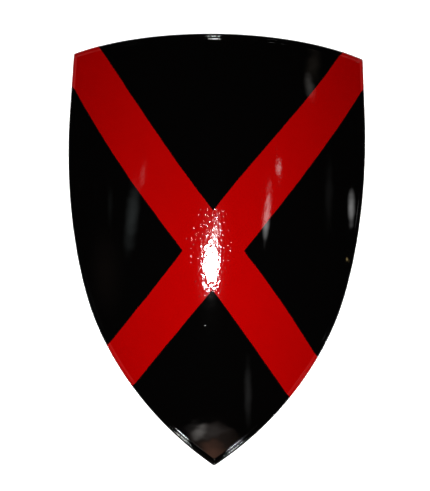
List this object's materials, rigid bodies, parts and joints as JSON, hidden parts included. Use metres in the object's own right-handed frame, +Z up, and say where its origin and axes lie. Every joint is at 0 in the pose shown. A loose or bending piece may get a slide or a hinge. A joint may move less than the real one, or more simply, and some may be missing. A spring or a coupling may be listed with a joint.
{
  "type": "heater shield",
  "caption": "Curved heater shield of sheet steel with a beaded edge, black enamel with a red saltire, and a leather arm strap and hand grip behind.",
  "frame": {"origin": "middle of the bounding box on the surface the shield lies on, face up", "axes": "+Z up, out of the painted face; +Y towards the shield's top edge; +X to the right seen from the front. The shield's own length is tipped 6.2 degrees from +Y, point down, as it rests on the widest part of its edge"},
  "size_m": [0.4418, 0.6076, 0.1072],
  "materials": {
    "black_enamel": "high gloss",
    "strap_leather": "waxed",
    "rivet_steel": "polished"
  },
  "bodies": {
    "root": {"plate": "black_enamel", "arm_strap": "strap_leather", "hand_grip": "strap_leather", "arm_strap_lower_rivet": "rivet_steel", "arm_strap_upper_rivet": "rivet_steel", "hand_grip_lower_rivet": "rivet_steel", "hand_grip_upper_rivet": "rivet_steel"}
  },
  "joints": []
}
